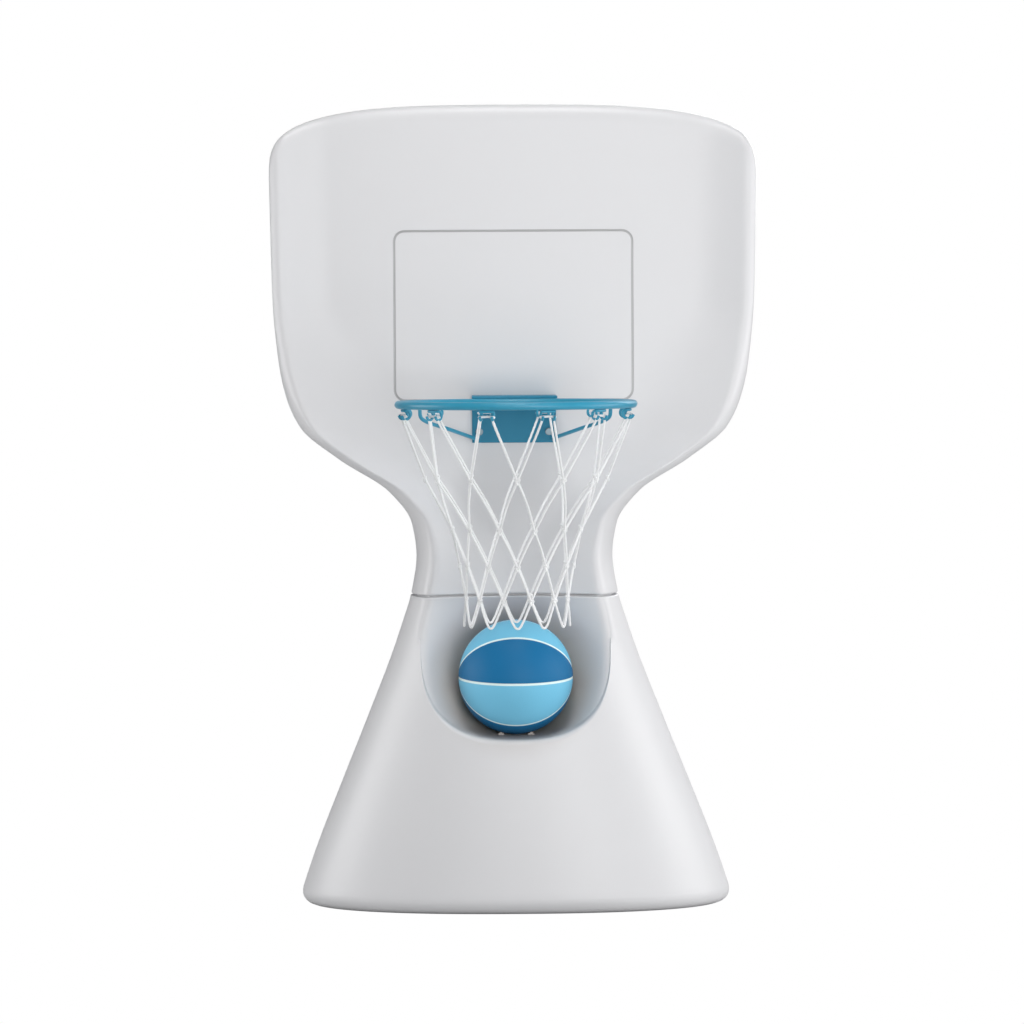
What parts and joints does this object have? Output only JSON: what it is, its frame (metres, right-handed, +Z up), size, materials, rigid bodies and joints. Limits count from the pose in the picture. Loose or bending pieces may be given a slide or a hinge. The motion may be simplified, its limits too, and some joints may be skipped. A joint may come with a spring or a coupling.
{
  "type": "poolside basketball hoop",
  "caption": "Water-weighted moulded poolside hoop: tapering base with a ball pocket, rounded concave backboard on a neck, steel rim with hooks and a knotted cord net, and a ball.",
  "frame": {"origin": "on the ground, under the middle of the whole hoop", "axes": "+Z up, -Y towards the pool and the player, +X to the right of someone who faces the board"},
  "size_m": [1.02, 1.0478, 1.681],
  "materials": {
    "moulding": "satin moulded plastic, pale grey",
    "paint": "gloss teal blue paint",
    "steel": "bright plated steel",
    "brass": "turned brass",
    "cord": "white braided cord",
    "ball_skin": "pebbled rubber, two blues with white seams",
    "cap_plastic": "grey moulded plastic",
    "gasket": "black rubber"
  },
  "bodies": {
    "stand": {"base_shell": "moulding", "backboard_shell": "moulding", "rim_ring": "paint", "rim_bracket": "paint", "brace_left": "paint", "brace_right": "paint", "net_hook_01": "paint", "net_hook_02": "paint", "net_hook_03": "paint", "net_hook_04": "paint", "net_hook_05": "paint", "net_hook_06": "paint", "net_hook_07": "paint", "net_hook_08": "paint", "net_hook_09": "paint", "net_hook_10": "paint", "net_hook_11": "paint", "net_hook_12": "paint", "net": "cord", "rim_bolt_1": "steel", "rim_bolt_2": "steel", "rim_bolt_3": "steel", "rim_bolt_4": "steel", "rim_washer_1": "steel", "rim_washer_2": "steel", "rim_washer_3": "steel", "rim_washer_4": "steel", "rim_insert_1": "brass", "rim_insert_2": "brass", "rim_insert_3": "brass", "rim_insert_4": "brass", "neck_bolt_1": "steel", "neck_bolt_2": "steel", "neck_washer_1": "steel", "neck_washer_2": "steel", "neck_insert_1": "brass", "neck_insert_2": "brass"},
    "ball": {"ball": "ball_skin"},
    "fill_gasket": {"fill_gasket": "gasket"},
    "fill_cap": {"fill_cap": "cap_plastic"},
    "drain_gasket": {"drain_gasket": "gasket"},
    "drain_cap": {"drain_cap": "cap_plastic"}
  },
  "joints": [
    {"name": "ball_lift_out", "type": "slide", "parent": "stand", "child": "ball", "axis": [0, -1, 0], "range_m": [0, 0.72]},
    {"name": "fill_draw", "type": "slide", "parent": "stand", "child": "fill_gasket", "axis": [0, 1, 0], "range_m": [0, 0.016]},
    {"name": "fill_turn", "type": "hinge", "parent": "fill_gasket", "child": "fill_cap", "pos_m": [0, 0.3607, 0.5], "axis": [0, 1, 0], "range_deg": [0, 1440]},
    {"name": "drain_draw", "type": "slide", "parent": "stand", "child": "drain_gasket", "axis": [0, 1, 0], "range_m": [0, 0.016]},
    {"name": "drain_turn", "type": "hinge", "parent": "drain_gasket", "child": "drain_cap", "pos_m": [0, 0.5007, 0.062], "axis": [0, 1, 0], "range_deg": [0, 1440]}
  ],
  "couplings": [
    {"joint": "fill_turn", "follows": "fill_draw", "rad_per_m": 1570.8},
    {"joint": "drain_turn", "follows": "drain_draw", "rad_per_m": 1570.8}
  ]
}
